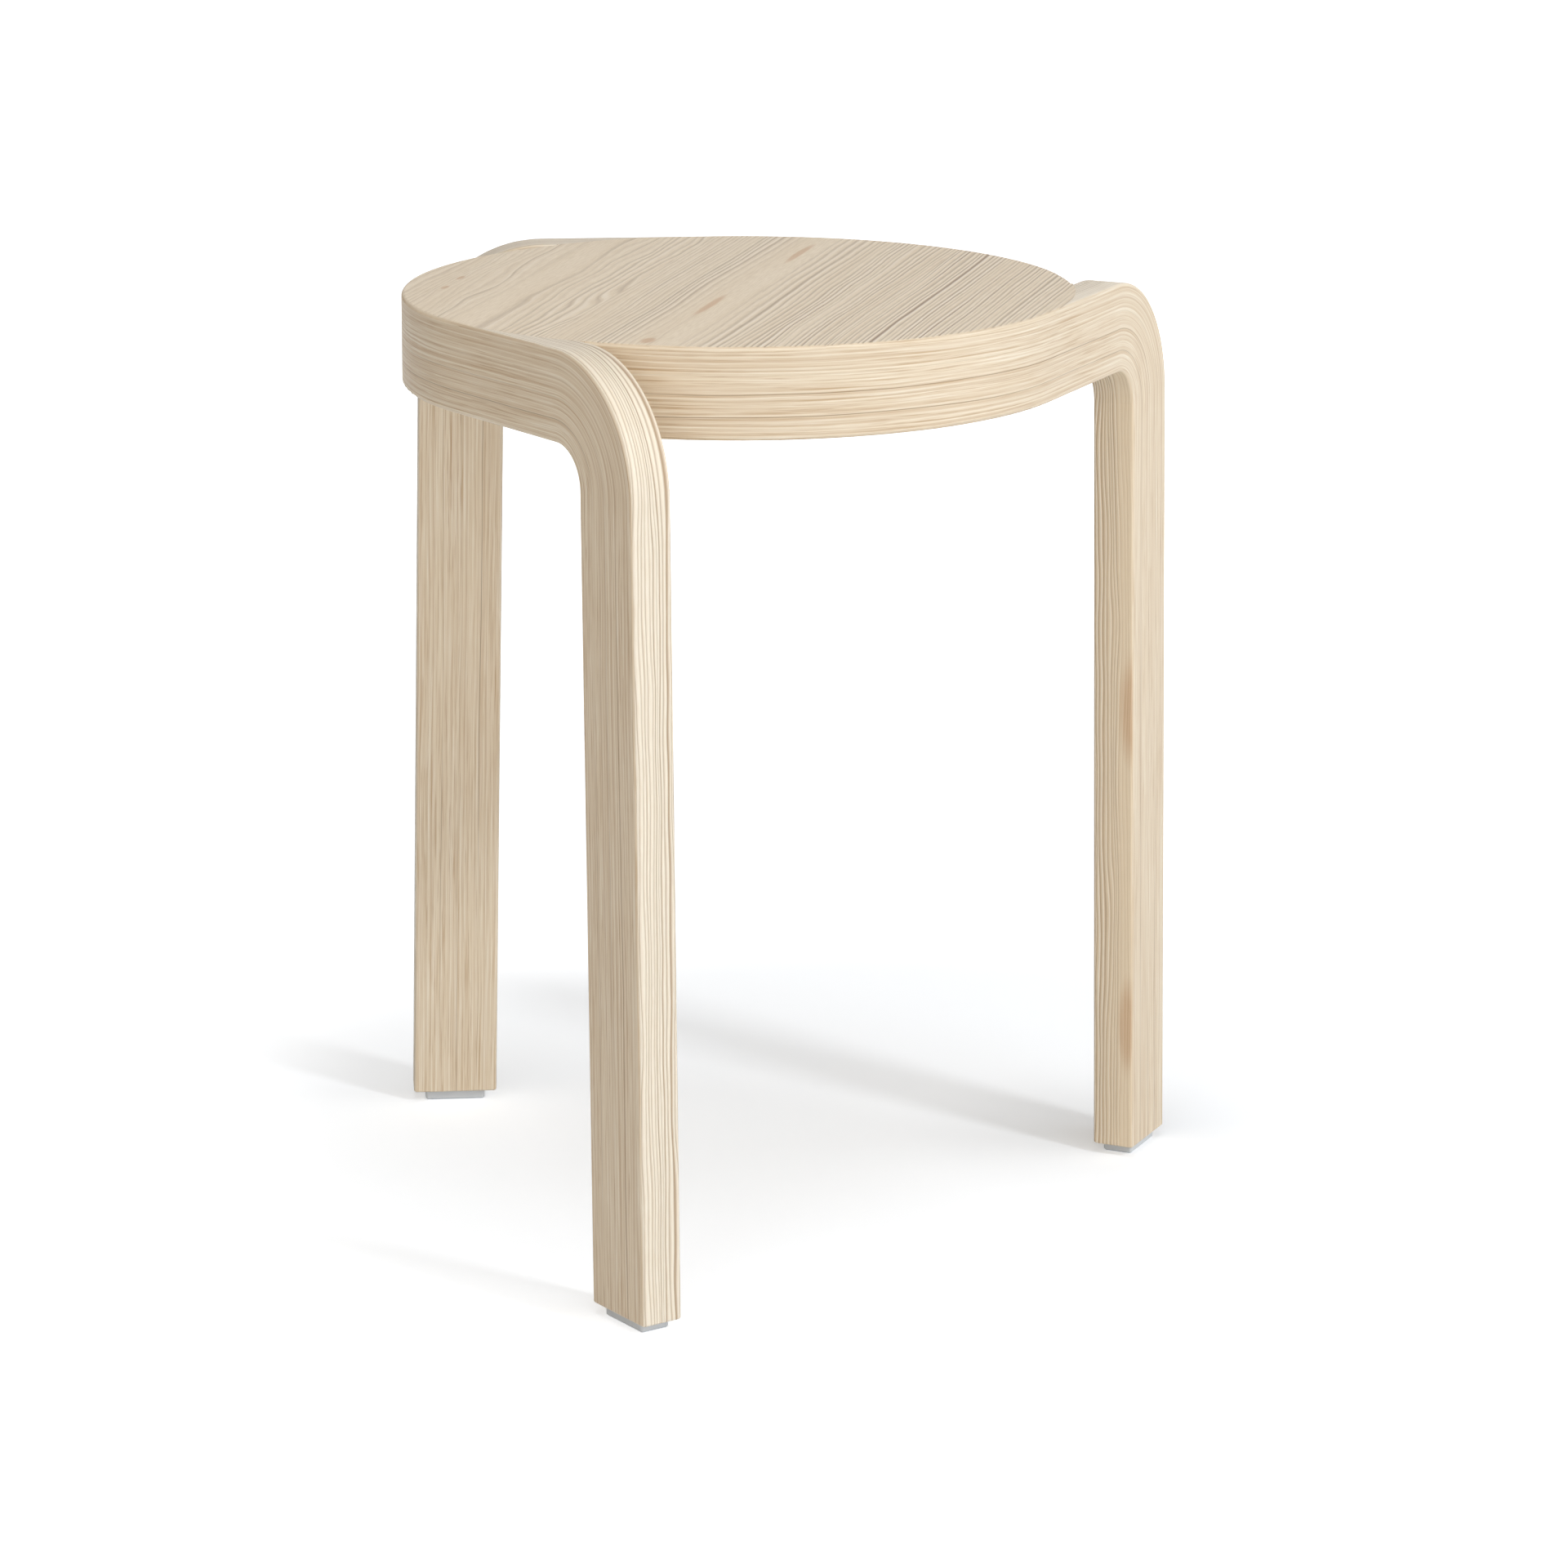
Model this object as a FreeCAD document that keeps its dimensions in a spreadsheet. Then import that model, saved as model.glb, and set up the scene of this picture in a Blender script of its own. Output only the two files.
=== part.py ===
import FreeCAD, Part
import math
import os
import Sketcher
from FreeCAD import Placement, Rotation, Vector

# Stacking stool: three form-pressed legs in a pinwheel under a round seat.
# Each leg bends over into a straight arm. The arm runs on as the turned rim of the seat, and its
# tail is glued and dowelled to the inner side of the next arm.
# Lengths are millimetres and angles are degrees. The origin is the centre of the seat's top, +Z up.
# A piece is drawn for the leg that faces +X: X is that arm's outward direction, Y runs along it
# towards the leg. The piece is then turned about Z to its own leg.

# Driving sizes
SIZES = {
    "seat_height": 440,
    "seat_radius": 157.5,
    "first_leg_angle": -150,
    "strip_thickness": 21,
    "strip_width": 42,
    "leg_reach": 146,
    "splay_angle": 1.3,
    "lean_angle": 0.35,
    "bend_inner_radius": 19.5,
    "edge_round": 1.7,
    "sole_chamfer": 0.7,
    "rim_inner_chamfer": 1.2,
    "face_thickness": 2,
    "feather_width": 6,
    "grain_angle": 71,
    "leaf_width": 126,
    "leaf_offset": -12.5,
    "core_thickness": 18,
    "core_clearance": 0.2,
    "core_chamfer": 1,
    "ledge_width": 10,
    "shoulder_angle": 15,
    "dowel_radius": 4,
    "dowel_length": 20,
    "dowel_tail_depth": 8,
    "dowel_spacing": 14,
    "dowel_notch_distance": 8.6,
    "glue_gap": 1,
    "glide_height": 5,
    "glide_inset_along": 6,
    "glide_inset_across": 3,
    "glide_corner_round": 1.5,
    "glide_edge_chamfer": 0.8,
    "screw_radius": 1.75,
    "screw_head_radius": 3.5,
    "screw_head_land": 0.4,
    "screw_length": 20,
    "screw_recess": 0.8,
    "screw_tip_length": 4,
    "screw_clearance": 0.1,
    "screw_slot_width": 1,
    "screw_slot_length": 4,
    "screw_slot_depth": 1.2,
}

LEGS = ("front", "right", "rear")
THIRD_TURN = 120

# How far a cutter reaches past the solid that it cuts
MARGIN = 5
# How far the cutter of a rounding reaches past the rounding itself
SMALL_MARGIN = 0.2
# Two lengths nearer than this are the same
SAME = 1e-4

# Sizes that follow from the driving ones
ARM_INSIDE = "(Sizes.seat_radius - Sizes.strip_thickness)"
NOTCH_REACH = f"sqrt(Sizes.seat_radius^2 - {ARM_INSIDE}^2)"
NOTCH_ANGLE = f"acos({ARM_INSIDE} / Sizes.seat_radius)"
LEAN = "tan(Sizes.lean_angle)"
SPLAY = "tan(Sizes.splay_angle)"
LEG_DROP = "(Sizes.seat_height - Sizes.glide_height)"
RIM_MIDDLE = "((Sizes.face_thickness + Sizes.core_thickness + Sizes.strip_width) / 2)"
CORE_SEAT_RADIUS = f"({ARM_INSIDE} + Sizes.ledge_width)"
FOOT_X = f"({ARM_INSIDE} + Sizes.strip_thickness / 2 + {LEG_DROP} * {LEAN})"
FOOT_Y = f"(Sizes.leg_reach + {LEG_DROP} * {SPLAY} - Sizes.strip_width / cos(Sizes.splay_angle) / 2)"
JOINT_X = f"({ARM_INSIDE} + {RIM_MIDDLE} * {LEAN})"
DOWEL_Y = f"({NOTCH_REACH} - Sizes.dowel_notch_distance)"

doc = FreeCAD.newDocument("stacking_stool")
sheet = doc.addObject("Spreadsheet::Sheet", "Sizes")
for row, (alias, size) in enumerate(SIZES.items(), start=1):
    sheet.set(f"A{row}", alias)
    sheet.set(f"B{row}", str(size))
    sheet.setAlias(f"B{row}", alias)
doc.recompute()

sub_parts = []


def number(expression):
    """The value of a size, a formula of sizes or a plain number."""
    result = sheet.evalExpression(str(expression))
    return float(getattr(result, "Value", result))


def new_body(label):
    body = doc.addObject("PartDesign::Body", label)
    body.Label = label
    sub_parts.append(body)
    return body


def turn_to_leg(body, index):
    """Turn a finished body about Z from +X to the leg with this number."""
    body.Placement = Placement(Vector(), Rotation(Vector(0, 0, 1), 0))
    turn = f"(Sizes.first_leg_angle + {index * THIRD_TURN}) * 1 deg"
    body.setExpression("Placement.Rotation.Angle", turn)


def origin_feature(body, role):
    return next(item for item in body.Origin.OriginFeatures if item.Role == role)


def new_sketch(body, name, role, turn=None, about=Vector(0, 0, 1), shift=None):
    """A sketch on one of the body's planes, turned about an axis of the plane and then shifted."""
    sketch = body.newObject("Sketcher::SketchObject", name)
    sketch.AttachmentSupport = [(origin_feature(body, role), "")]
    sketch.MapMode = "FlatFace"
    sketch.AttachmentOffset = Placement(Vector(), Rotation(about, number(turn or 0)))
    if turn:
        sketch.setExpression("AttachmentOffset.Rotation.Angle", f"({turn}) * 1 deg")
    for axis, distance in (shift or {}).items():
        sketch.setExpression(f"AttachmentOffset.Base.{axis}", distance)
    doc.recompute()
    return sketch


def fix(sketch, name, kind, *place_and_value):
    """A driving constraint whose last argument is the size, as a formula."""
    *place, size = place_and_value
    index = sketch.addConstraint(Sketcher.Constraint(kind, *place, number(size)))
    sketch.renameConstraint(index, name)
    sketch.setExpression(f"Constraints.{name}", str(size))


def fix_point(sketch, name, geometry, end, x, y):
    fix(sketch, f"{name}_x", "DistanceX", -1, 1, geometry, end, x)
    fix(sketch, f"{name}_y", "DistanceY", -1, 1, geometry, end, y)


def rounding(corner, before, after, radius):
    """The arc that rounds a corner, and whether it runs the same way as the outline."""
    back = (before - corner).normalize()
    ahead = (after - corner).normalize()
    half = back.getAngle(ahead) / 2
    middle = corner + (back + ahead).normalize() * (radius / math.sin(half))
    reach = radius / math.tan(half)
    forward = back.cross(ahead).z < 0
    start, end = (back, ahead) if forward else (ahead, back)
    first, last = [
        math.atan2((corner + side * reach - middle).y, (corner + side * reach - middle).x)
        for side in (start, end)
    ]
    circle = Part.Circle(middle, Vector(0, 0, 1), radius)
    return Part.ArcOfCircle(circle, first, last), forward, corner + back * reach, corner + ahead * reach


def outline(sketch, name, *corners):
    """A closed outline through corners (x, y) or, where the corner is rounded, (x, y, radius)."""
    points = [Vector(number(corner[0]), number(corner[1]), 0) for corner in corners]
    count = len(points)
    starts, ends = list(points), list(points)
    arcs = {}
    for index, corner in enumerate(corners):
        if len(corner) == 3:
            before, after = points[index - 1], points[(index + 1) % count]
            arc, forward, enter, leave = rounding(points[index], before, after, number(corner[2]))
            ends[index], starts[index] = enter, leave
            arcs[index] = (sketch.addGeometry(arc, False), forward)
    lines = [
        sketch.addGeometry(Part.LineSegment(starts[index], ends[(index + 1) % count]), False)
        for index in range(count)
    ]
    for index, corner in enumerate(corners):
        into, out = lines[index - 1], lines[index]
        if index in arcs:
            arc, forward = arcs[index]
            enter, leave = (1, 2) if forward else (2, 1)
            point = sketch.addGeometry(Part.Point(points[index]), True)
            fix_point(sketch, f"{name}_{index}", point, 1, corner[0], corner[1])
            sketch.addConstraint(Sketcher.Constraint("PointOnObject", point, 1, into))
            sketch.addConstraint(Sketcher.Constraint("PointOnObject", point, 1, out))
            sketch.addConstraint(Sketcher.Constraint("Tangent", into, 2, arc, enter))
            sketch.addConstraint(Sketcher.Constraint("Tangent", arc, leave, out, 1))
            fix(sketch, f"{name}_{index}_radius", "Radius", arc, corner[2])
        else:
            sketch.addConstraint(Sketcher.Constraint("Coincident", into, 2, out, 1))
            fix_point(sketch, f"{name}_{index}", out, 1, corner[0], corner[1])
    doc.recompute()


def rectangle(sketch, name, left, bottom, right, top):
    outline(sketch, name, (left, bottom), (right, bottom), (right, top), (left, top))


def circle(sketch, name, x, y, radius):
    middle = Vector(number(x), number(y), 0)
    shape = Part.Circle(middle, Vector(0, 0, 1), number(radius))
    index = sketch.addGeometry(shape, False)
    fix_point(sketch, name, index, 3, x, y)
    fix(sketch, f"{name}_radius", "Radius", index, radius)
    doc.recompute()


def extrude(body, kind, name, sketch, length, **settings):
    """A Pad or a Pocket of a sketch."""
    feature = body.newObject(f"PartDesign::{kind}", name)
    feature.Profile = sketch
    feature.setExpression("Length", str(length))
    for key, value in settings.items():
        setattr(feature, key, value)
    doc.recompute()
    return feature


def revolve(body, kind, name, sketch, angle, **settings):
    """A Revolution or a Groove of a sketch about its own vertical axis."""
    feature = body.newObject(f"PartDesign::{kind}", name)
    feature.Profile = sketch
    feature.ReferenceAxis = (sketch, ["V_Axis"])
    feature.setExpression("Angle", angle)
    for key, value in settings.items():
        setattr(feature, key, value)
    doc.recompute()
    return feature


def dress(body, kind, name, base, edges, size):
    """A Fillet or a Chamfer on the edges of the last feature."""
    feature = body.newObject(f"PartDesign::{kind}", name)
    feature.Base = (base, edges)
    feature.setExpression("Radius" if kind == "Fillet" else "Size", size)
    doc.recompute()
    return feature


def edges_where(feature, test):
    """Names of the edges whose two ends pass a test."""
    return [
        f"Edge{index}"
        for index, edge in enumerate(feature.Shape.Edges, start=1)
        if test(edge.firstVertex().Point, edge.lastVertex().Point)
    ]


def add_leg(name, index):
    body = new_body(f"leg_{name}")

    # The leg and its straight arm: an angle in one board, drawn on the outer side. That side leans
    # outwards going down, and the board is cut across horizontally.
    slope = "cos(Sizes.lean_angle)"
    width = "Sizes.strip_width / cos(Sizes.splay_angle)"
    foot = f"Sizes.leg_reach + {LEG_DROP} * {SPLAY}"
    inner_corner = f"Sizes.leg_reach + Sizes.strip_width * {SPLAY} - {width}"
    elevation = new_sketch(
        body,
        "leg_elevation",
        "YZ_Plane",
        turn="-Sizes.lean_angle",
        about=Vector(1, 0, 0),
        shift={"z": "Sizes.seat_radius"},
    )
    outline(
        elevation,
        "leg",
        ("0", "0"),
        ("0", f"-Sizes.strip_width / {slope}"),
        (inner_corner, f"-Sizes.strip_width / {slope}", "Sizes.bend_inner_radius"),
        (f"{foot} - {width}", f"-{LEG_DROP} / {slope}"),
        (foot, f"-{LEG_DROP} / {slope}"),
        ("Sizes.leg_reach", "0", "Sizes.bend_inner_radius + Sizes.strip_width"),
    )
    leg = extrude(
        body,
        "Pad",
        "bent_leg",
        elevation,
        "Sizes.strip_thickness",
        UseCustomVector=True,
        Direction=Vector(-1, 0, 0),
        AlongSketchNormal=False,
    )

    sole_z = -number(LEG_DROP)

    def is_long(first, last):
        across = abs(first.y - last.y) < SAME and abs(first.z - last.z) < SAME
        at_start = max(abs(first.y), abs(last.y)) < SAME
        at_sole = max(abs(first.z - sole_z), abs(last.z - sole_z)) < SAME
        return not (across or at_start or at_sole)

    rounded = dress(body, "Fillet", "long_edges", leg, edges_where(leg, is_long), "Sizes.edge_round")

    def is_sole(first, last):
        return max(abs(first.z - sole_z), abs(last.z - sole_z)) < SAME

    dress(body, "Chamfer", "sole_edges", rounded, edges_where(rounded, is_sole), "Sizes.sole_chamfer")

    # The underside stays square where the next arm's tail is glued on.
    arm_bottom = "-Sizes.strip_width"
    land = new_sketch(body, "joint_land_section", "XZ_Plane")
    outline(
        land,
        "land",
        (f"{ARM_INSIDE} + Sizes.strip_width * {LEAN}", arm_bottom),
        (f"{ARM_INSIDE} + 2 * Sizes.edge_round", arm_bottom),
        (f"{ARM_INSIDE} + 2 * Sizes.edge_round", f"{arm_bottom} + 2 * Sizes.edge_round"),
        (
            f"{ARM_INSIDE} + (Sizes.strip_width - 2 * Sizes.edge_round) * {LEAN}",
            f"{arm_bottom} + 2 * Sizes.edge_round",
        ),
    )
    extrude(body, "Pad", "joint_land", land, NOTCH_REACH, Reversed=True)

    # Room for the seat's face. The arm stands proud only outside the seat's circle, and not where
    # that part of it would be a feather.
    feather = new_sketch(body, "feather_outline", "XY_Plane")
    rectangle(
        feather,
        "feather",
        f"{ARM_INSIDE} - {MARGIN}",
        -MARGIN,
        f"Sizes.seat_radius + {MARGIN}",
        "Sizes.feather_width",
    )
    extrude(body, "Pocket", "feather_trim", feather, "Sizes.face_thickness")
    face_seat = new_sketch(body, "face_seat_outline", "XY_Plane")
    circle(face_seat, "face", "0", "0", "Sizes.seat_radius")
    extrude(body, "Pocket", "face_seat", face_seat, "Sizes.face_thickness")

    # The rim: the strip goes on round the seat from the end of the straight arm.
    rim_top = "-Sizes.face_thickness"
    rim_section = new_sketch(body, "rim_section", "XZ_Plane")
    outline(
        rim_section,
        "rim",
        (ARM_INSIDE, rim_top),
        (ARM_INSIDE, f"{arm_bottom} + Sizes.rim_inner_chamfer"),
        (f"{ARM_INSIDE} + Sizes.rim_inner_chamfer", arm_bottom),
        (f"Sizes.seat_radius + Sizes.strip_width * {LEAN}", arm_bottom, "Sizes.edge_round"),
        (f"Sizes.seat_radius + Sizes.face_thickness * {LEAN}", rim_top),
    )
    tail_sweep = f"({THIRD_TURN} - Sizes.shoulder_angle) * 1 deg"
    revolve(body, "Revolution", "rim", rim_section, tail_sweep, Reversed=True)

    # The heel: inside the straight arm the rim's inner wall goes on to the shoulder that the next
    # arm's tail butts against.
    heel_section = new_sketch(body, "heel_section", "XZ_Plane")
    outline(
        heel_section,
        "heel",
        (ARM_INSIDE, rim_top),
        (ARM_INSIDE, f"{arm_bottom} + Sizes.rim_inner_chamfer"),
        (f"{ARM_INSIDE} + Sizes.rim_inner_chamfer", arm_bottom),
        (f"{ARM_INSIDE} + Sizes.strip_thickness / 2", arm_bottom),
        (f"{ARM_INSIDE} + Sizes.strip_thickness / 2", rim_top),
    )
    revolve(body, "Revolution", "heel", heel_section, "Sizes.shoulder_angle * 1 deg")

    # The tail is planed to the inner side of the next arm, which leans as the legs do.
    tail = new_sketch(body, "tail_cut_outline", "XY_Plane", turn=-THIRD_TURN)
    rectangle(
        tail,
        "tail",
        ARM_INSIDE,
        -MARGIN,
        f"Sizes.seat_radius + 2 * {MARGIN}",
        f"{NOTCH_REACH} + 2 * {MARGIN}",
    )
    tail_cut = extrude(body, "Pocket", "tail_cut", tail, f"Sizes.strip_width + {MARGIN}")
    tail_cut.setExpression("TaperAngle", "-Sizes.lean_angle * 1 deg")

    # The seat's core lies in a recess turned in rim and arm, on a ledge.
    core_seat = new_sketch(body, "core_seat_outline", "XY_Plane")
    circle(core_seat, "core", "0", "0", CORE_SEAT_RADIUS)
    extrude(body, "Pocket", "core_seat", core_seat, "Sizes.face_thickness + Sizes.core_thickness")

    # Dowel holes: in this arm for the next arm's tail, and in this arm's own tail. Each starts
    # outside the joint and runs into the wood.
    in_arm_start = f"({JOINT_X} - {MARGIN})"
    in_arm = new_sketch(body, "arm_hole_centres", "YZ_Plane", shift={"z": in_arm_start})
    in_tail_start = f"({JOINT_X} + {MARGIN})"
    in_tail = new_sketch(
        body,
        "tail_hole_centres",
        "YZ_Plane",
        turn=-THIRD_TURN,
        about=Vector(0, 1, 0),
        shift={
            "x": f"-{in_tail_start} * sin({THIRD_TURN})",
            "z": f"{in_tail_start} * cos({THIRD_TURN})",
        },
    )
    for sketch in (in_arm, in_tail):
        circle(sketch, "outer", DOWEL_Y, f"-{RIM_MIDDLE}", "Sizes.dowel_radius")
        inner_y = f"{DOWEL_Y} - Sizes.dowel_spacing"
        circle(sketch, "inner", inner_y, f"-{RIM_MIDDLE}", "Sizes.dowel_radius")
    in_arm_depth = f"{MARGIN} + Sizes.dowel_length - Sizes.dowel_tail_depth + Sizes.glue_gap"
    extrude(body, "Pocket", "arm_holes", in_arm, in_arm_depth, Reversed=True)
    in_tail_depth = f"{MARGIN} + Sizes.dowel_tail_depth + Sizes.glue_gap"
    extrude(body, "Pocket", "tail_holes", in_tail, in_tail_depth)

    # Pilot hole for the glide's screw
    pilot = new_sketch(body, "pilot_outline", "XY_Plane", shift={"z": f"-{LEG_DROP}"})
    circle(pilot, "pilot", FOOT_X, FOOT_Y, "Sizes.screw_radius + Sizes.screw_clearance")
    pilot_depth = "Sizes.screw_length + Sizes.screw_recess - Sizes.glide_height + Sizes.glue_gap"
    extrude(body, "Pocket", "pilot_hole", pilot, pilot_depth, Reversed=True)
    turn_to_leg(body, index)


def add_seat_core():
    body = new_body("seat_core")
    disc = new_sketch(body, "disc_outline", "XY_Plane", shift={"z": "-Sizes.face_thickness"})
    circle(disc, "disc", "0", "0", f"{CORE_SEAT_RADIUS} - Sizes.core_clearance")
    core = extrude(body, "Pad", "disc", disc, "Sizes.core_thickness", Reversed=True)
    bottom_z = -number("Sizes.face_thickness + Sizes.core_thickness")

    def is_bottom(first, last):
        return max(abs(first.z - bottom_z), abs(last.z - bottom_z)) < SAME

    dress(body, "Chamfer", "lower_edge", core, edges_where(core, is_bottom), "Sizes.core_chamfer")


def add_seat_leaf(side, lower_joint, upper_joint):
    """One leaf of the seat's face, between two joints that run along the grain."""
    body = new_body(f"seat_leaf_{side}")
    disc = new_sketch(body, "disc_outline", "XY_Plane")
    circle(disc, "disc", "0", "0", "Sizes.seat_radius")
    extrude(body, "Pad", "disc", disc, "Sizes.face_thickness", Reversed=True)

    # The edge is rounded round the open rim, and then straight on along each arm as far as the
    # arm's own rounding crosses the circle.
    flat_end = f"(Sizes.seat_radius - Sizes.edge_round - {SMALL_MARGIN})"
    lower_end = f"-Sizes.edge_round - {SMALL_MARGIN}"
    section = (
        (flat_end, "0"),
        ("Sizes.seat_radius", "0", "Sizes.edge_round"),
        ("Sizes.seat_radius", lower_end),
        (f"Sizes.seat_radius + {MARGIN}", lower_end),
        (f"Sizes.seat_radius + {MARGIN}", MARGIN),
        (flat_end, MARGIN),
    )
    feather_angle = "asin(Sizes.feather_width / Sizes.seat_radius)"
    along_rim = new_sketch(
        body,
        "rim_rounding_section",
        "XZ_Plane",
        turn=f"{feather_angle} / 1 deg",
        about=Vector(0, 1, 0),
    )
    outline(along_rim, "rim", *section)
    open_rim = f"{THIRD_TURN} deg - {NOTCH_ANGLE} + {feather_angle}"
    rim_cut = revolve(body, "Groove", "rim_rounding", along_rim, open_rim, Reversed=True)
    arm_start = f"Sizes.feather_width * {flat_end} / Sizes.seat_radius"
    along_arm = new_sketch(body, "arm_rounding_section", "XZ_Plane", shift={"z": f"-{arm_start}"})
    outline(along_arm, "arm", *section)
    arm_length = "sqrt(2 * Sizes.seat_radius * Sizes.edge_round)"
    arm_cut = extrude(body, "Pocket", "arm_rounding", along_arm, arm_length)
    pattern = body.newObject("PartDesign::PolarPattern", "every_arm")
    pattern.Originals = [rim_cut, arm_cut]
    pattern.Axis = (origin_feature(body, "Z_Axis"), [""])
    pattern.Angle = 360
    pattern.Occurrences = len(LEGS)
    body.Tip = pattern
    doc.recompute()

    # Everything past the joints with the leaves beside it is cut away.
    grain_turn = "Sizes.grain_angle - Sizes.first_leg_angle"
    past_joints = new_sketch(body, "joint_lines", "XY_Plane", turn=grain_turn)
    far = f"(Sizes.seat_radius + {MARGIN})"
    if lower_joint:
        rectangle(past_joints, "lower", f"-{far}", f"-{far}", far, lower_joint)
    if upper_joint:
        rectangle(past_joints, "upper", f"-{far}", upper_joint, far, far)
    extrude(body, "Pocket", "joints", past_joints, f"Sizes.face_thickness + {MARGIN}")
    turn_to_leg(body, 0)


def add_dowels(name, index):
    """The two dowels of one joint."""
    body = new_body(f"dowels_{name}")
    body.AllowCompound = True
    round_bar = new_sketch(
        body, "dowel_outline", "YZ_Plane", shift={"z": f"{JOINT_X} - Sizes.dowel_tail_depth"}
    )
    circle(round_bar, "dowel", DOWEL_Y, f"-{RIM_MIDDLE}", "Sizes.dowel_radius")
    dowel = extrude(body, "Pad", "dowel", round_bar, "Sizes.dowel_length")
    pattern = body.newObject("PartDesign::LinearPattern", "both")
    pattern.Originals = [dowel]
    pattern.Direction = (origin_feature(body, "Y_Axis"), [""])
    pattern.Reversed = True
    pattern.Occurrences = 2
    pattern.setExpression("Length", "Sizes.dowel_spacing")
    body.Tip = pattern
    doc.recompute()
    turn_to_leg(body, index)


def add_glide(name, index):
    body = new_body(f"glide_{name}")
    half_across = "(Sizes.strip_thickness / 2 - Sizes.glide_inset_across)"
    half_along = "(Sizes.strip_width / 2 - Sizes.glide_inset_along)"
    pad_outline = new_sketch(body, "glide_outline", "XY_Plane", shift={"z": f"-{LEG_DROP}"})
    outline(
        pad_outline,
        "glide",
        (f"{FOOT_X} - {half_across}", f"{FOOT_Y} - {half_along}", "Sizes.glide_corner_round"),
        (f"{FOOT_X} + {half_across}", f"{FOOT_Y} - {half_along}", "Sizes.glide_corner_round"),
        (f"{FOOT_X} + {half_across}", f"{FOOT_Y} + {half_along}", "Sizes.glide_corner_round"),
        (f"{FOOT_X} - {half_across}", f"{FOOT_Y} + {half_along}", "Sizes.glide_corner_round"),
    )
    glide = extrude(body, "Pad", "glide", pad_outline, "Sizes.glide_height", Reversed=True)
    floor_z = -number("Sizes.seat_height")

    def is_floor(first, last):
        return max(abs(first.z - floor_z), abs(last.z - floor_z)) < SAME

    floor_edges = edges_where(glide, is_floor)
    dress(body, "Chamfer", "floor_edges", glide, floor_edges, "Sizes.glide_edge_chamfer")

    # Countersunk hole, with the screw's head below the running face
    hole = new_sketch(body, "screw_hole_section", "XZ_Plane", shift={"x": FOOT_X, "z": f"-{FOOT_Y}"})
    face = "-Sizes.seat_height"
    head_radius = "Sizes.screw_head_radius + Sizes.screw_clearance"
    shank_radius = "Sizes.screw_radius + Sizes.screw_clearance"
    cone_start = f"{face} + Sizes.screw_recess + Sizes.screw_head_land"
    cone_end = f"{cone_start} + Sizes.screw_head_radius - Sizes.screw_radius"
    outline(
        hole,
        "hole",
        ("0", f"{face} - {MARGIN}"),
        (head_radius, f"{face} - {MARGIN}"),
        (head_radius, cone_start),
        (shank_radius, cone_end),
        (shank_radius, f"{face} + Sizes.glide_height + {MARGIN}"),
        ("0", f"{face} + Sizes.glide_height + {MARGIN}"),
    )
    revolve(body, "Groove", "screw_hole", hole, "360 deg")
    turn_to_leg(body, index)


def add_screw(name, index):
    body = new_body(f"screw_{name}")
    section = new_sketch(body, "screw_section", "XZ_Plane", shift={"x": FOOT_X, "z": f"-{FOOT_Y}"})
    head_face = "-Sizes.seat_height + Sizes.screw_recess"
    cone_start = f"{head_face} + Sizes.screw_head_land"
    cone_end = f"{cone_start} + Sizes.screw_head_radius - Sizes.screw_radius"
    outline(
        section,
        "screw",
        ("0", head_face),
        ("Sizes.screw_head_radius", head_face),
        ("Sizes.screw_head_radius", cone_start),
        ("Sizes.screw_radius", cone_end),
        ("Sizes.screw_radius", f"{head_face} + Sizes.screw_length - Sizes.screw_tip_length"),
        ("0", f"{head_face} + Sizes.screw_length"),
    )
    revolve(body, "Revolution", "screw", section, "360 deg")
    half_slot = "Sizes.screw_slot_width / 2"
    half_length = "Sizes.screw_slot_length / 2"
    cross = new_sketch(
        body, "cross_outline", "XY_Plane", shift={"x": FOOT_X, "y": FOOT_Y, "z": head_face}
    )
    outline(
        cross,
        "cross",
        (f"-{half_length}", f"-{half_slot}"),
        (f"-{half_slot}", f"-{half_slot}"),
        (f"-{half_slot}", f"-{half_length}"),
        (half_slot, f"-{half_length}"),
        (half_slot, f"-{half_slot}"),
        (half_length, f"-{half_slot}"),
        (half_length, half_slot),
        (half_slot, half_slot),
        (half_slot, half_length),
        (f"-{half_slot}", half_length),
        (f"-{half_slot}", half_slot),
        (f"-{half_length}", half_slot),
    )
    extrude(body, "Pocket", "cross_recess", cross, "Sizes.screw_slot_depth", Reversed=True)
    turn_to_leg(body, index)


def check_document():
    """Stop if a feature failed, a cut missed the solid or a sub-part's shape isn't sound."""
    for item in doc.Objects:
        if "Invalid" in item.State or "Error" in item.State:
            raise RuntimeError(f"{item.Label} has failed: {item.State}")
        if item.TypeId in ("PartDesign::Pocket", "PartDesign::Groove"):
            base = item.BaseFeature.Shape.Volume
            if not item.Shape.Volume < base - SAME:
                raise RuntimeError(f"{item.Label} of {item.getParent().Label} cuts nothing")
    for body in sub_parts:
        if body.Shape.isNull() or not body.Shape.isValid():
            raise RuntimeError(f"{body.Label} has no sound shape")


for leg_number, leg_name in enumerate(LEGS):
    add_leg(leg_name, leg_number)
    add_dowels(leg_name, leg_number)
    add_glide(leg_name, leg_number)
    add_screw(leg_name, leg_number)
add_seat_core()
LEFT_JOINT = "Sizes.leaf_offset + Sizes.leaf_width / 2"
RIGHT_JOINT = "Sizes.leaf_offset - Sizes.leaf_width / 2"
add_seat_leaf("left", LEFT_JOINT, None)
add_seat_leaf("middle", RIGHT_JOINT, LEFT_JOINT)
add_seat_leaf("right", None, RIGHT_JOINT)

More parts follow.
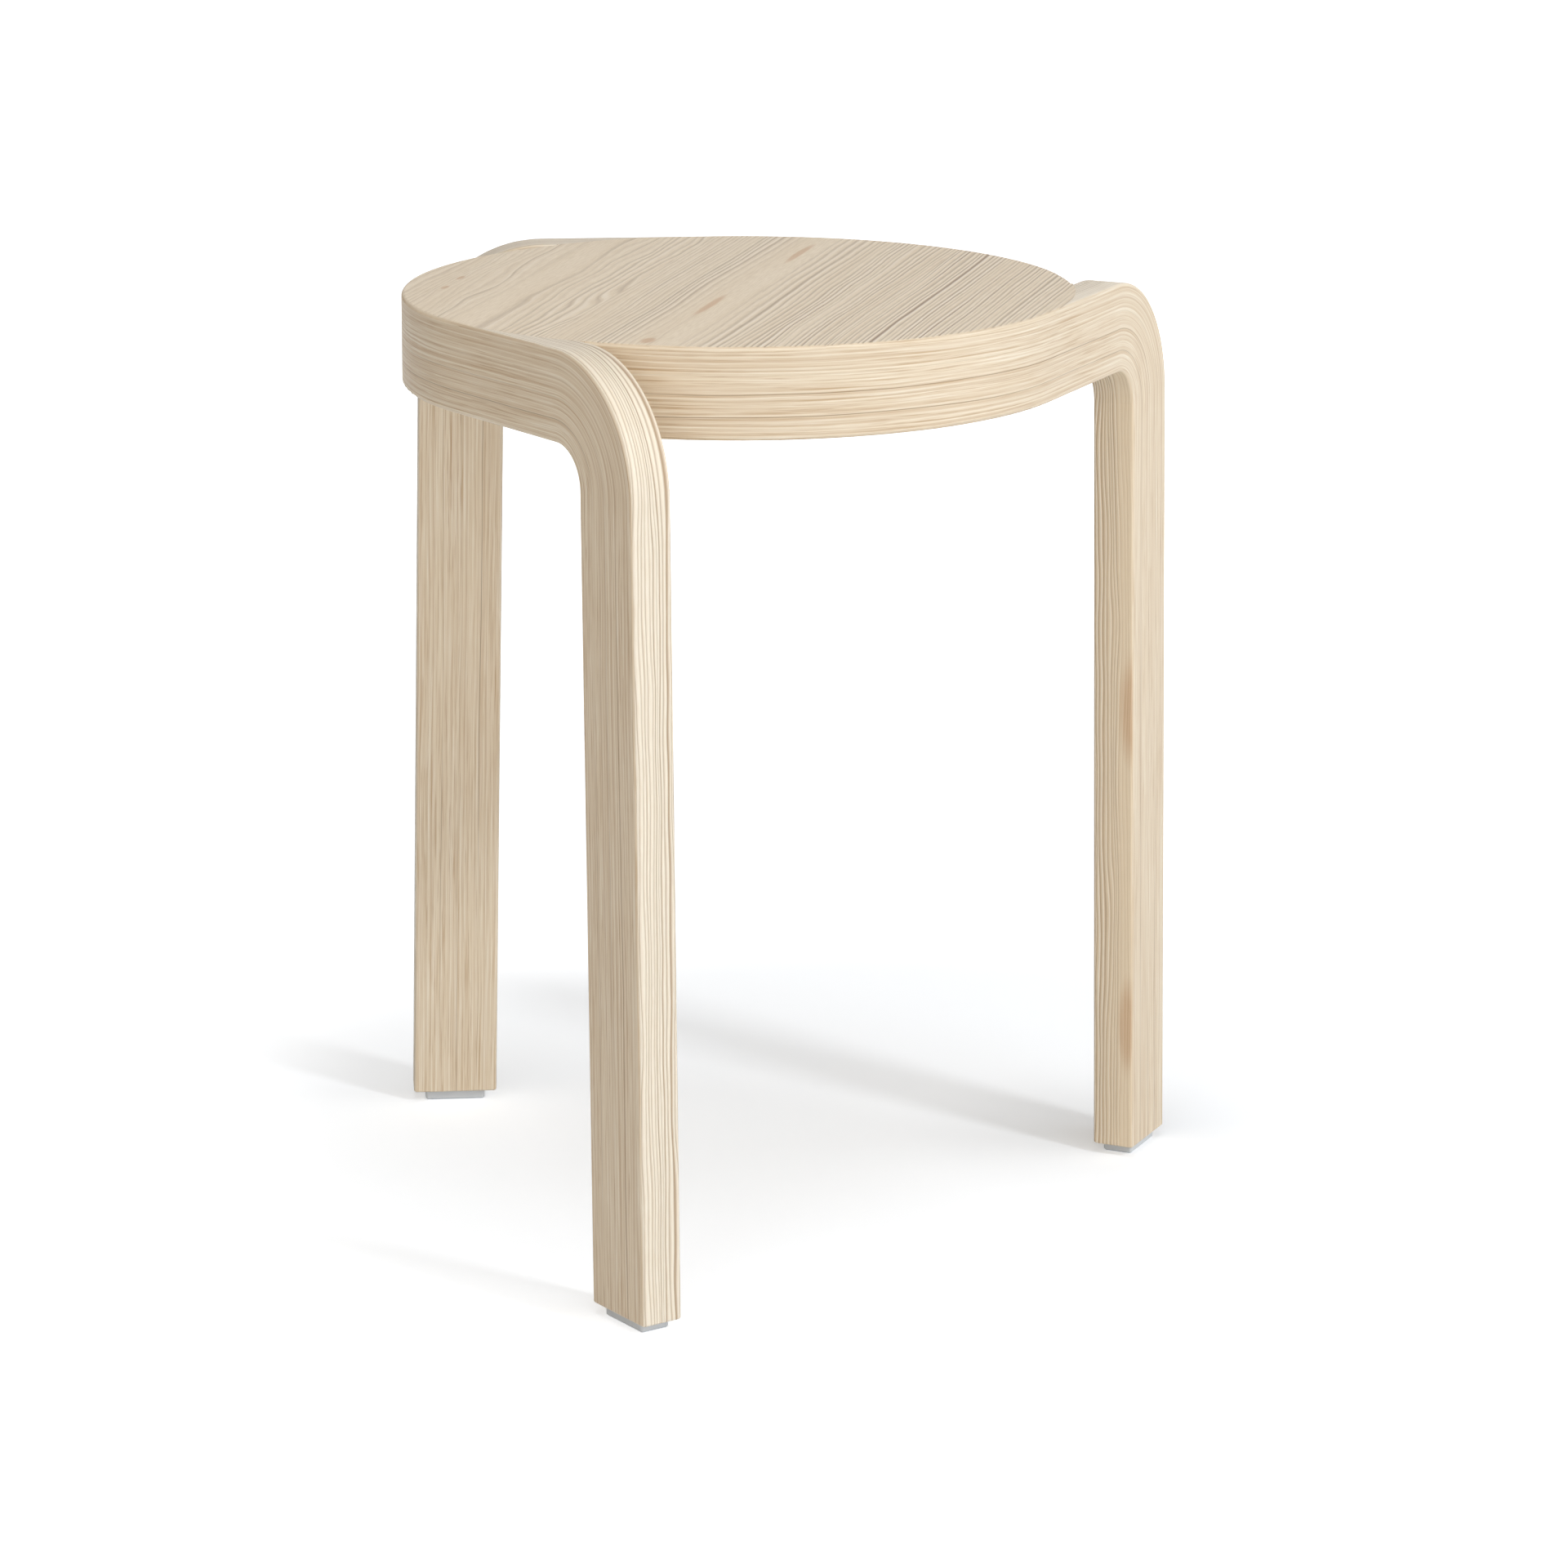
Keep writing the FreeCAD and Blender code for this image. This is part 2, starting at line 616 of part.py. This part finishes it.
doc.recompute()
check_document()
os.makedirs("parts", exist_ok=True)
for sub_part in sub_parts:
    sub_part.Shape.exportStep(f"parts/{sub_part.Label}.step")
    solids = len(sub_part.Shape.Solids)
    print(f"{sub_part.Label}: {solids} solid, {sub_part.Shape.Volume / 1000:.2f} cm3")
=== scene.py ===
import math

import bpy
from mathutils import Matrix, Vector


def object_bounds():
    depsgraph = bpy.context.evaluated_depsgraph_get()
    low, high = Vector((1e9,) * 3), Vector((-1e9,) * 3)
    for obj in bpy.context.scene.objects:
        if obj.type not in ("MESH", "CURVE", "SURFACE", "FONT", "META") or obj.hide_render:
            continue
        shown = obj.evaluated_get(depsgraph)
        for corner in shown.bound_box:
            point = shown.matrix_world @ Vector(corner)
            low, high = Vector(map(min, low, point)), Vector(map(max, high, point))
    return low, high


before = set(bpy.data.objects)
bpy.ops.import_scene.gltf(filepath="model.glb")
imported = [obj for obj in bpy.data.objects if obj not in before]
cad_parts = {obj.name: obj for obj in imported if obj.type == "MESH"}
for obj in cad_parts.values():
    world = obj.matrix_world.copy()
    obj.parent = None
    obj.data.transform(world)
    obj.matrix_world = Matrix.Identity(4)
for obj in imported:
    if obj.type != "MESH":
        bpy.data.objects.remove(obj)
cad_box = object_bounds()

# Sizes in metres. The origin is the centre of the seat's top.
FLOOR_Z = cad_box[0][2]
SEAT_RADIUS = 0.1575
STRIP_WIDTH = 0.042
LEG_REACH = 0.146
BEND_RADIUS = 0.0615

# How far a leg leans outward and splays along its arm, for each unit of height
LEAN = math.tan(math.radians(0.35))
SPLAY = math.tan(math.radians(1.3))

# Directions in degrees: the grain of the seat's face, and the way each leg's arm faces
GRAIN_ANGLE = 71
LEG_ANGLES = {"front": -150, "right": -30, "rear": 90}

# The patterns are drawn in millimetres.
MM = 1000


# Camera: where the photograph was taken from
def add_camera():
    camera = bpy.data.cameras.new("photo_camera")
    camera.sensor_width = 36
    camera.lens = 126.655
    camera.clip_end = 50
    holder = bpy.data.objects.new("photo_camera", camera)
    holder.location = (-0.199618, -2.547441, 0.427741)
    looks_along = Vector((0.08359, 0.96392, -0.25273))
    holder.rotation_euler = looks_along.to_track_quat("-Z", "Y").to_euler()
    bpy.context.collection.objects.link(holder)
    bpy.context.scene.camera = holder


# Materials: arithmetic that Blender does at each point of a surface
class Value:
    """A number, place or colour that differs over a surface. Sums and products add nodes."""

    def __init__(self, tree, socket):
        self.tree = tree
        self.socket = socket

    def __add__(self, other):
        return calc("ADD", self, other)

    def __sub__(self, other):
        return calc("SUBTRACT", self, other)

    def __rsub__(self, other):
        return calc("SUBTRACT", other, self)

    def __mul__(self, other):
        return calc("MULTIPLY", self, other)

    def __truediv__(self, other):
        return calc("DIVIDE", self, other)

    def __neg__(self):
        return calc("SUBTRACT", 0, self)

    def __abs__(self):
        return calc("ABSOLUTE", self)

    __radd__ = __add__
    __rmul__ = __mul__


def feed(socket, value):
    """Link a socket to a varying value, or set it to a plain one."""
    if isinstance(value, Value):
        value.tree.links.new(value.socket, socket)
    else:
        socket.default_value = value


def tree_of(values):
    return next(value.tree for value in values if isinstance(value, Value))


def calc(operation, *values):
    tree = tree_of(values)
    node = tree.nodes.new("ShaderNodeMath")
    node.operation = operation
    for socket, value in zip(node.inputs, values):
        feed(socket, value)
    return Value(tree, node.outputs[0])


def larger(first, second):
    return calc("MAXIMUM", first, second)


def smaller(first, second):
    return calc("MINIMUM", first, second)


def direct_distance(first, second):
    """The straight distance that two distances at right angles make."""
    return calc("SQRT", first * first + second * second)


def turn_from(first, second):
    """The angle whose tangent is first over second."""
    return calc("ARCTAN2", first, second)


def vector(*sides):
    tree = tree_of(sides)
    node = tree.nodes.new("ShaderNodeCombineXYZ")
    for socket, side in zip(node.inputs, sides):
        feed(socket, side)
    return Value(tree, node.outputs[0])


def split(value):
    node = value.tree.nodes.new("ShaderNodeSeparateXYZ")
    feed(node.inputs[0], value)
    return [Value(value.tree, output) for output in node.outputs]


def noise(place, detail=2, roughness=0.5):
    """Noise from 0 to 1, with features about one unit of the place across."""
    node = place.tree.nodes.new("ShaderNodeTexNoise")
    feed(node.inputs["Vector"], place)
    node.inputs["Scale"].default_value = 1
    node.inputs["Detail"].default_value = detail
    node.inputs["Roughness"].default_value = roughness
    return Value(place.tree, node.outputs["Fac"])


def chance(number):
    """A fixed random number from 0 to 1 for each whole number."""
    node = number.tree.nodes.new("ShaderNodeTexWhiteNoise")
    node.noise_dimensions = "1D"
    feed(node.inputs["W"], number)
    return Value(number.tree, node.outputs["Value"])


def slide(value, low, high, to_low=0, to_high=1):
    """Map a range to another one, smoothly and clamped."""
    node = value.tree.nodes.new("ShaderNodeMapRange")
    node.interpolation_type = "SMOOTHSTEP"
    for socket, item in zip(node.inputs, (value, low, high, to_low, to_high)):
        feed(socket, item)
    return Value(value.tree, node.outputs[0])


def blend(amount, first, second):
    """Mix two colours. A Mix node takes them in inputs 6 and 7 and gives its colour in output 2."""
    node = amount.tree.nodes.new("ShaderNodeMix")
    node.data_type = "RGBA"
    feed(node.inputs["Factor"], amount)
    feed(node.inputs[6], first)
    feed(node.inputs[7], second)
    return Value(amount.tree, node.outputs[2])


def ramp(value, *stops):
    """Levels at stops from 0 to 1, straight between them."""
    node = value.tree.nodes.new("ShaderNodeValToRGB")
    feed(node.inputs[0], value)
    points = node.color_ramp.elements
    while len(points) < len(stops):
        points.new(0.5)
    for point, (place, level) in zip(points, stops):
        point.position = place
        point.color = (level, level, level, 1)
    return Value(value.tree, node.outputs[0])


def new_material(name, roughness, specular=0.5, metallic=0):
    material = bpy.data.materials.new(name)
    material.use_nodes = True
    shader = material.node_tree.nodes["Principled BSDF"]
    shader.inputs["Roughness"].default_value = roughness
    shader.inputs["Specular IOR Level"].default_value = specular
    shader.inputs["Metallic"].default_value = metallic
    return material, shader


def turned_place(material, angle=0):
    """The place in millimetres and the way the surface faces, with X turned to an angle about Z."""
    tree = material.node_tree
    source = tree.nodes.new("ShaderNodeTexCoord")
    turned = []
    for output, size in (("Object", MM), ("Normal", 1)):
        mapping = tree.nodes.new("ShaderNodeMapping")
        mapping.inputs["Rotation"].default_value[2] = -math.radians(angle)
        mapping.inputs["Scale"].default_value = (size, size, size)
        tree.links.new(source.outputs[output], mapping.inputs["Vector"])
        turned.append(Value(tree, mapping.outputs[0]))
    return turned


def relief(shader, height, strength, depth):
    node = height.tree.nodes.new("ShaderNodeBump")
    node.inputs["Strength"].default_value = strength
    node.inputs["Distance"].default_value = depth
    feed(node.inputs["Height"], height)
    height.tree.links.new(node.outputs[0], shader.inputs["Normal"])


# Pine of the strips' sides
LIGHT_PINE = (0.86, 0.745, 0.58, 1)
PINE = (0.80, 0.67, 0.495, 1)
DARK_PINE = (0.52, 0.345, 0.19, 1)
GLUE_LINE = (0.34, 0.225, 0.13, 1)
# Pale lines of the wood, also used as a painted highlight beside the dark rings
PALE_LINE_AND_HIGHLIGHT = (0.95, 0.865, 0.72, 1)

# Pine of the strips' top and ends
END_PINE = (0.89, 0.785, 0.63, 1)
END_LIGHT = (0.95, 0.87, 0.735, 1)
END_TAN = (0.85, 0.68, 0.465, 1)
END_DARK = (0.43, 0.30, 0.185, 1)

# Pine of the seat's face
FACE_PINE = (0.811, 0.678, 0.500, 1)
FACE_LIGHT = (0.903, 0.774, 0.592, 1)
FACE_TAN = (0.732, 0.582, 0.397, 1)
FACE_DARK = (0.30, 0.20, 0.12, 1)
# Pale line beside the seat's dark rings: pale wood and partly a painted highlight
FACE_LINE_AND_HIGHLIGHT = (0.97, 0.87, 0.73, 1)
KNOT_BROWN = (0.58, 0.34, 0.17, 1)

# Core board, dowels, glides and screws
BOARD_TAN = (0.62, 0.48, 0.32, 1)
BOARD_LIGHT = (0.72, 0.59, 0.42, 1)
BEECH_DARK = (0.50, 0.31, 0.17, 1)
BEECH_LIGHT = (0.66, 0.46, 0.29, 1)
GLIDE_DARK = (0.60, 0.625, 0.65, 1)
GLIDE_LIGHT = (0.68, 0.70, 0.72, 1)
ZINC_DARK = (0.50, 0.50, 0.48, 1)
ZINC_LIGHT = (0.68, 0.68, 0.66, 1)

# Distances in millimetres from a strip's edge to the joints between its layers
LAYER_JOINTS = (12.8, 21.4, 31.6)


def rings(distance, pitch, seed, faintest):
    """Growth rings at a distance: how dark the late wood is, and the light line after it, which is pale
    wood and partly a painted highlight.
    """
    uneven = noise(vector(distance / (pitch * 2.2), seed, 0.5), 1)
    count = distance / pitch + uneven * 1.6
    strength = slide(chance(calc("FLOOR", count + seed * 7)), 0, 1, faintest, 1)
    phase = calc("FRACT", count)
    late = ramp(phase, (0.0, 0.0), (0.4, 0.1), (0.55, 0.6), (0.7, 1.0), (0.84, 0.3), (0.9, 0.0))
    pale_line_and_highlight = ramp(phase, (0.0, 1.0), (0.1, 0.8), (0.26, 0.0), (0.86, 0.0), (0.94, 1.0))
    return late * strength, pale_line_and_highlight * strength


def layer_edges(along, across, depth, seed, contrast=1):
    """The sides of a strip, where the edges of its layers and their late wood run along it."""
    sway = noise(vector(along / 170, across / 22, seed)) - 0.5
    level = across + sway * 3.2
    late, pale_line_and_highlight = rings(level, 2.2, seed, 0.15)
    fine = noise(vector(along / 60, level / 0.8, depth / 9), 3, 0.7)
    dashes = slide(noise(vector(along / 24, level / 0.55, seed + 4.5), 1), 0.55, 0.68)
    patches = slide(noise(vector(along / 80, level / 9, seed + 7.5), 1), 0.38, 0.62)
    bands = slide(noise(vector(along / 260, level / 5, seed + 2.5), 2), 0.35, 0.7)
    glue = 0
    for joint in LAYER_JOINTS:
        glue = larger(glue, slide(abs(level - joint), 0.06, 0.3, 0.8, 0))

    colour = blend(slide(fine, 0.35, 0.6), LIGHT_PINE, PINE)
    colour = blend(0.5 * contrast * slide(fine, 0.54, 0.68), colour, DARK_PINE)
    colour = blend(0.6 * contrast * slide(fine, 0.44, 0.34), colour, PALE_LINE_AND_HIGHLIGHT)
    colour = blend(0.16 * contrast * bands, colour, DARK_PINE)
    colour = blend(0.3 * contrast * late, colour, DARK_PINE)
    colour = blend(dashes * patches * 0.5, colour, DARK_PINE)
    colour = blend(glue * slide(bands, 0, 1, 0.15, 1), colour, GLUE_LINE)
    # The light line after the late wood: pale wood and partly a painted highlight
    colour = blend(0.4 * contrast * pale_line_and_highlight, colour, PALE_LINE_AND_HIGHLIGHT)
    return colour, -(fine + (glue + late))


def leg_pine(name, ring_centre, seed, contrast, tan=0, plain_depth=-30, stains=()):
    """Pine whose grain runs along the rim, over the bend and down the leg."""
    material, shader = new_material(f"pine_of_leg_{name}", 0.5, 0.35)
    place, normal = turned_place(material, LEG_ANGLES[name])
    x, y, z = split(place)

    # Down the leg the strip leans and splays.
    x = x + z * LEAN
    y_leg = y + z * SPLAY

    # Depth below the outer face, and the way round the rim
    y_rim = smaller(y, 0)
    radius = direct_distance(x, y_rim)
    depth = SEAT_RADIUS * MM - radius
    round_rim = turn_from(y_rim, x) * (SEAT_RADIUS * MM)

    # Distance from the top edge, which the bend carries over to the outer edge of the leg
    bend_y = (LEG_REACH - BEND_RADIUS) * MM
    bend_z = -BEND_RADIUS * MM
    out = larger(y_leg - bend_y, 0)
    up = larger(z - bend_z, 0)
    across = BEND_RADIUS * MM - direct_distance(out, up)

    # Distance along the grain
    round_bend = turn_from(out, up) * ((BEND_RADIUS - STRIP_WIDTH / 2) * MM)
    on_arm = smaller(larger(y_leg, 0), bend_y)
    down = larger(bend_z - z, 0)
    along = (round_rim + on_arm) + (round_bend + down)

    # How far the surface looks out of the strip's outer or inner side
    normal_x, normal_y, _ = split(normal)
    on_side = slide(abs((normal_x * x + normal_y * y_rim) / radius), 0.45, 0.85)
    side, side_height = layer_edges(along, across, depth, seed, contrast)

    # Top and ends: the face of the outermost layer, with its growth rings
    wander = (noise(vector(along / 120, depth / 16, across / 40)) - 0.5) * 8
    offset = depth + wander - ring_centre
    late, pale_line_and_highlight = rings(direct_distance(offset, 5), 1.7, seed, 0.5)
    clear = slide(depth, plain_depth, plain_depth + 8, 0.3, 1)
    late = late * clear
    pale_line_and_highlight = pale_line_and_highlight * clear
    fibre = noise(vector(along / 9, depth / 0.5, across / 0.5))
    end = blend(slide(fibre, 0.3, 0.7), END_PINE, END_LIGHT)
    end = blend(slide(z, -40, -20, tan, 0), end, END_TAN)
    for stain_z, half_length, stain_depth, half_width in stains:
        far = direct_distance((z - stain_z) / half_length, (depth - stain_depth) / half_width)
        end = blend(slide(far, 0.35, 1, 0.6, 0), end, KNOT_BROWN)
    end = blend(late, end, END_DARK)
    # The light line after each ring: pale wood and partly a painted highlight
    end = blend(pale_line_and_highlight, end, PALE_LINE_AND_HIGHLIGHT)

    feed(shader.inputs["Base Color"], blend(on_side, end, side))
    height = side_height * (on_side * 0.4) + (pale_line_and_highlight - late) * (1 - on_side)
    relief(shader, height, 0.5, 0.0004)
    return material


def face_pine(name, ring_centre, ring_depth, rates, pitch, waviness, contrast, fade, seed, knots=()):
    """Sliced pine of one leaf of the seat, with the grain across the seat."""
    material, shader = new_material(f"pine_of_leaf_{name}", 0.5, 0.35)
    place, normal = turned_place(material, GRAIN_ANGLE)
    along, across, height = split(place)

    # Knots push the grain aside.
    push = 0
    knot = 0
    for knot_along, knot_across, half_length, half_width, bend, reach in knots:
        from_along = along - knot_along
        from_across = across - knot_across - from_along * from_along * bend
        far = direct_distance(from_along / half_length, from_across / half_width)
        knot = larger(knot, slide(far, 0.45, 1.0, 1, 0))
        swell = calc("EXPONENT", far * far * -0.2)
        push = push + swell * reach * calc("SIGN", from_across)

    wander = (noise(vector(along / 150, across / 30, seed)) - 0.5) * waviness
    offset = (across + wander) - (push + ring_centre)
    left = larger(offset, 0) * rates[0]
    right = smaller(offset, 0) * rates[1]
    late, pale_line_and_highlight = rings(direct_distance(left + right, ring_depth), pitch, seed, 0.4)

    # Where the rings are clear, and where they fade
    zones = slide(noise(vector(along / 400, across / 14, seed + 3), 1), 0.35, 0.65, 0.5, 1)
    zones = zones * slide(across, *fade)
    zones = zones * slide(abs(offset), 3, 16, 0.1, 1)

    fibre = noise(vector(along / 12, across / 0.6, seed))
    tone = noise(vector(along / 200, across / 15, seed + 9))
    colour = blend(slide(fibre, 0.4, 0.6), FACE_PINE, FACE_LIGHT)
    colour = blend(slide(tone, 0.35, 0.7, 0, 0.3), colour, FACE_TAN)
    colour = blend(late * zones * contrast, colour, FACE_DARK)
    # The light line after each ring: pale wood and partly a painted highlight
    colour = blend(pale_line_and_highlight * zones * contrast, colour, FACE_LINE_AND_HIGHLIGHT)
    if knots:
        colour = blend(knot * 0.65, colour, KNOT_BROWN)

    # The leaf's turned edge shows the same lines as the rim below it.
    on_top = slide(split(normal)[2], 0.8, 0.97)
    round_edge = turn_from(across, along) * (SEAT_RADIUS * MM)
    edge, _ = layer_edges(round_edge, -height, 0, seed)
    feed(shader.inputs["Base Color"], blend(on_top, edge, colour))
    relief(shader, (pale_line_and_highlight - late) * (zones * on_top), 0.5, 0.0004)
    return material


def core_board():
    material, shader = new_material("pale_core_board", 0.65, 0.3)
    place, _ = turned_place(material, GRAIN_ANGLE)
    along, across, up = split(place)
    sway = noise(vector(along / 110, across / 25, 1.5)) * 8
    late, _ = rings(direct_distance(across - 20, 30) + sway, 3.2, 5, 0.3)
    fibre = noise(vector(along / 14, across / 0.7, up))
    colour = blend(fibre, BOARD_TAN, BOARD_LIGHT)
    feed(shader.inputs["Base Color"], blend(late * 0.4, colour, DARK_PINE))
    relief(shader, fibre, 0.15, 0.0002)
    return material


def dowel_beech():
    material, shader = new_material("dowel_beech", 0.6, 0.3)
    place, _ = turned_place(material)
    x, y, z = split(place)
    flecks = noise(vector(x / 3, y / 3, z / 0.4))
    feed(shader.inputs["Base Color"], blend(flecks, BEECH_DARK, BEECH_LIGHT))
    return material


def glide_plastic():
    material, shader = new_material("grey_glide_plastic", 0.45, 0.4)
    place, _ = turned_place(material)
    x, y, z = split(place)
    wear = noise(vector(x / 6, y / 6, z / 6))
    grit = noise(place, 3, 0.6)
    feed(shader.inputs["Base Color"], blend(wear, GLIDE_DARK, GLIDE_LIGHT))
    feed(shader.inputs["Roughness"], slide(grit, 0.3, 0.7, 0.4, 0.55))
    relief(shader, grit, 0.08, 0.0002)
    return material


def screw_steel():
    material, shader = new_material("zinc_screw_steel", 0.35, 0.5, 1)
    place, _ = turned_place(material)
    spots = noise(place, 3, 0.6)
    feed(shader.inputs["Base Color"], blend(spots, ZINC_DARK, ZINC_LIGHT))
    feed(shader.inputs["Roughness"], slide(spots, 0.3, 0.7, 0.28, 0.45))
    return material


def dress(node, material):
    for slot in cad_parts[node].material_slots:
        slot.material = material


# Legs. The rings' middle lies at ring_centre below the outer face. The rings are faint down to
# plain_depth below it, and clear all over where that is left out. Down the leg, tan is the share
# of tan in the colour. A stain has its height, half its length, its depth and half its width.
LEG_GRAIN = {
    "front": {"ring_centre": 30, "seed": 1.0, "contrast": 1.5},
    "right": {
        "ring_centre": -9,
        "seed": 2.0,
        "contrast": 1.4,
        "tan": 0.8,
        "plain_depth": 5,
        "stains": [(-212, 34, 1, 8), (-372, 30, 3, 6)],
    },
    # The rear leg's weaker grain contrast lightens this leg where the seat shades it: painted light.
    "rear": {"ring_centre": 28, "seed": 3.0, "contrast": 1.15},
}
for leg, grain in LEG_GRAIN.items():
    dress(f"leg_{leg}", leg_pine(leg, **grain))

# Leaves of the seat. The rings' middle lies at ring_centre across the seat and ring_depth below
# it, and rates says how fast they come on either side. Between two places across the seat, fade
# takes their strength from one level to the other. A knot has its place along and across the
# grain, half its length, half its width, its bend and how far it pushes the grain.
LEAF_GRAIN = {
    "left": {
        "ring_centre": 96,
        "ring_depth": 26,
        "rates": (1, 1),
        "pitch": 2.7,
        "waviness": 22,
        "contrast": 0.85,
        "fade": (120, 60, 0.6, 1),
        "seed": 1.0,
        "knots": [(-31, 134, 6, 2.0, 0, 2), (-3, 135, 7, 2.0, 0, 2)],
    },
    "middle": {
        "ring_centre": -4,
        "ring_depth": 26,
        "rates": (1.1, 1.0),
        "pitch": 2.3,
        "waviness": 8,
        "contrast": 1.3,
        "fade": (-50, 20, 1, 0.7),
        "seed": 2.0,
        "knots": [(-48, 1, 36, 2.6, 0.0004, 3), (106, -3, 36, 2.6, -0.0008, 3), (-145, 4, 9, 4.0, 0, 3)],
    },
    "right": {
        "ring_centre": -20,
        "ring_depth": 20,
        "rates": (1, 1),
        "pitch": 2.3,
        "waviness": 5,
        "contrast": 1.4,
        "fade": (-155, -120, 0.5, 1),
        "seed": 3.0,
    },
}
for leaf, grain in LEAF_GRAIN.items():
    dress(f"seat_leaf_{leaf}", face_pine(leaf, **grain))

dress("seat_core", core_board())
beech, plastic, steel = dowel_beech(), glide_plastic(), screw_steel()
for leg in LEG_ANGLES:
    dress(f"dowels_{leg}", beech)
    dress(f"glide_{leg}", plastic)
    dress(f"screw_{leg}", steel)


# Studio: a floor that is white to the camera and keeps the stool's shadow, and a white world
def looked_at(tree):
    """1 where a ray comes from the camera, a mirroring surface or glass, and else 0."""
    path = tree.nodes.new("ShaderNodeLightPath")
    rays = ("Is Camera Ray", "Is Glossy Ray", "Is Transmission Ray")
    camera, glossy, through = (Value(tree, path.outputs[ray]) for ray in rays)
    return larger(larger(camera, glossy), through)


def floor_paint():
    """Pale floor paint with painted light: it glows to the camera less in the middle of the stool's
    shadow, and least beside the right foot, which paints a deeper shadow there.
    """
    material, shader = new_material("studio_floor_paint", 0.9, 0)
    shader.inputs["Base Color"].default_value = (0.875, 0.915, 0.965, 1)
    tree = material.node_tree
    place, _ = turned_place(material)
    x, y, _ = split(place)
    shadow_x, shadow_y = 70, 90
    foot_x, foot_y = 185, 60
    from_shadow = direct_distance(x - shadow_x, y - shadow_y)
    from_foot = direct_distance(x - foot_x, y - foot_y)
    # Painted light: the glow whitens the floor away from the stool and is weaker where the stool's
    # shadow falls
    painted_glow = slide(from_shadow, 260, 380, 0.47, 0.66) + slide(from_shadow, 450, 1600, 0, 0.5)
    # Painted shadow: the glow is weaker still beside the right foot
    painted_glow = painted_glow - slide(from_foot, 10, 120, 0.12, 0)

    lit = tree.nodes.new("ShaderNodeEmission")
    lit.inputs["Color"].default_value = (1, 1, 1, 1)
    feed(lit.inputs["Strength"], looked_at(tree) * painted_glow)
    total = tree.nodes.new("ShaderNodeAddShader")
    tree.links.new(shader.outputs[0], total.inputs[0])
    tree.links.new(lit.outputs[0], total.inputs[1])
    tree.links.new(total.outputs[0], tree.nodes["Material Output"].inputs["Surface"])
    return material


def add_floor():
    bpy.ops.object.select_all(action="DESELECT")
    bpy.ops.mesh.primitive_plane_add(size=14, location=(0, 2, FLOOR_Z))
    bpy.ops.object.transform_apply(location=True)
    floor = bpy.context.object
    floor.name = "studio_floor"
    floor.data.materials.append(floor_paint())


def add_world():
    """White where it is looked at, and else a weak warm light."""
    world = bpy.data.worlds.new("studio")
    world.use_nodes = True
    tree = world.node_tree
    soft = tree.nodes["Background"]
    soft.inputs["Color"].default_value = (1.0, 0.97, 0.94, 1)
    soft.inputs["Strength"].default_value = 0.04
    white = tree.nodes.new("ShaderNodeBackground")
    white.inputs["Color"].default_value = (1, 1, 1, 1)
    white.inputs["Strength"].default_value = 1
    either = tree.nodes.new("ShaderNodeMixShader")
    feed(either.inputs[0], looked_at(tree))
    tree.links.new(soft.outputs[0], either.inputs[1])
    tree.links.new(white.outputs[0], either.inputs[2])
    tree.links.new(either.outputs[0], tree.nodes["World Output"].inputs["Surface"])
    bpy.context.scene.world = world


def add_softbox(name, azimuth, elevation, distance, size, power, colour=(1, 1, 1)):
    """A square lamp that looks at the stool, with its place given by two angles."""
    lamp = bpy.data.lights.new(name, "AREA")
    lamp.shape = "SQUARE"
    lamp.size = size
    lamp.energy = power
    lamp.color = colour
    holder = bpy.data.objects.new(name, lamp)
    turn, rise = math.radians(azimuth), math.radians(elevation)
    away = Vector((math.cos(turn) * math.cos(rise), math.sin(turn) * math.cos(rise), math.sin(rise)))
    middle_of_stool = Vector((0, 0, -0.2))
    holder.location = middle_of_stool + away * distance
    holder.rotation_euler = (-away).to_track_quat("-Z", "Y").to_euler()
    bpy.context.collection.objects.link(holder)


add_camera()
add_floor()
add_world()
add_softbox("key_softbox", -44, 40, 3.5, 0.4, 31)
add_softbox("top_softbox", -90, 80, 3.0, 1.4, 24)
add_softbox("front_left_softbox", -105, 15, 3.5, 2.5, 30, (1.0, 0.96, 0.91))
add_softbox("front_right_softbox", -65, 15, 3.5, 2.0, 19)
add_softbox("right_softbox", -12, 10, 3.5, 2.0, 34)
add_softbox("left_softbox", -150, 30, 3.5, 2.5, 17, (1.0, 0.86, 0.70))
add_softbox("rear_softbox", 75, 20, 3.5, 2.5, 5)

bpy.context.scene.view_settings.view_transform = "Standard"
